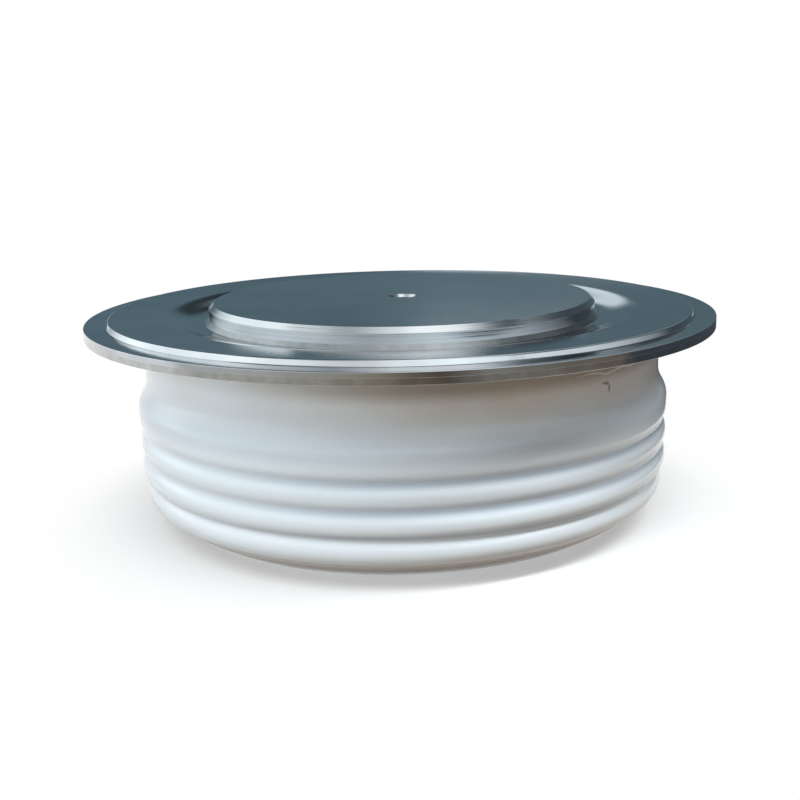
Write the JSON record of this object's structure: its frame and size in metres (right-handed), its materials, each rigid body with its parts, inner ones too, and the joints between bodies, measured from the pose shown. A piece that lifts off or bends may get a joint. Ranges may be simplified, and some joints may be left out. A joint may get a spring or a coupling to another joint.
{
  "type": "disc thyristor",
  "caption": "Disc-shaped power thyristor: a ribbed white ceramic capsule with a wide metal rim, clamped and contacted between two flat poles with centring holes.",
  "frame": {"origin": "centre of the lower (anode) contact face, on the axis of the disc", "axes": "+Z along the axis of the disc from the anode face to the cathode face; the gate tube leaves the neck towards +Y"},
  "size_m": [0.075, 0.075, 0.026],
  "materials": {
    "nickel_pole": "nickel plating over finely turned copper",
    "nickel_lid": "bright nickel plating on formed sheet",
    "nickel_flange": "nickel plating on flat sheet",
    "braze": "silver-copper braze under nickel",
    "glaze": "white alumina under a glossy clear glaze",
    "molybdenum": "ground molybdenum",
    "silicon": "polished silicon",
    "silicone": "moulded silicone",
    "fluoroplastic": "plain white fluoroplastic",
    "silver": "plain silver",
    "spring_steel": "rolled spring steel",
    "tube_nickel": "nickel-plated iron-nickel tube",
    "solder": "dull tin solder"
  },
  "bodies": {
    "root": {"cathode_pole": "nickel_pole", "anode_pole": "nickel_pole", "lid_flange": "nickel_lid", "weld_flange": "nickel_flange", "base_flange": "nickel_flange", "lid_braze": "braze", "neck_braze": "braze", "base_braze": "braze", "ceramic_ring": "glaze", "anode_carrier": "molybdenum", "cathode_buffer": "molybdenum", "wafer": "silicon", "edge_seal": "silicone", "locating_ring": "fluoroplastic", "gate_cup": "fluoroplastic", "lead_sleeve": "fluoroplastic", "gate_pin": "silver", "gate_lead": "silver", "gate_spring_lower": "spring_steel", "gate_spring_upper": "spring_steel", "gate_tube": "tube_nickel", "gate_plug": "solder"}
  },
  "joints": []
}
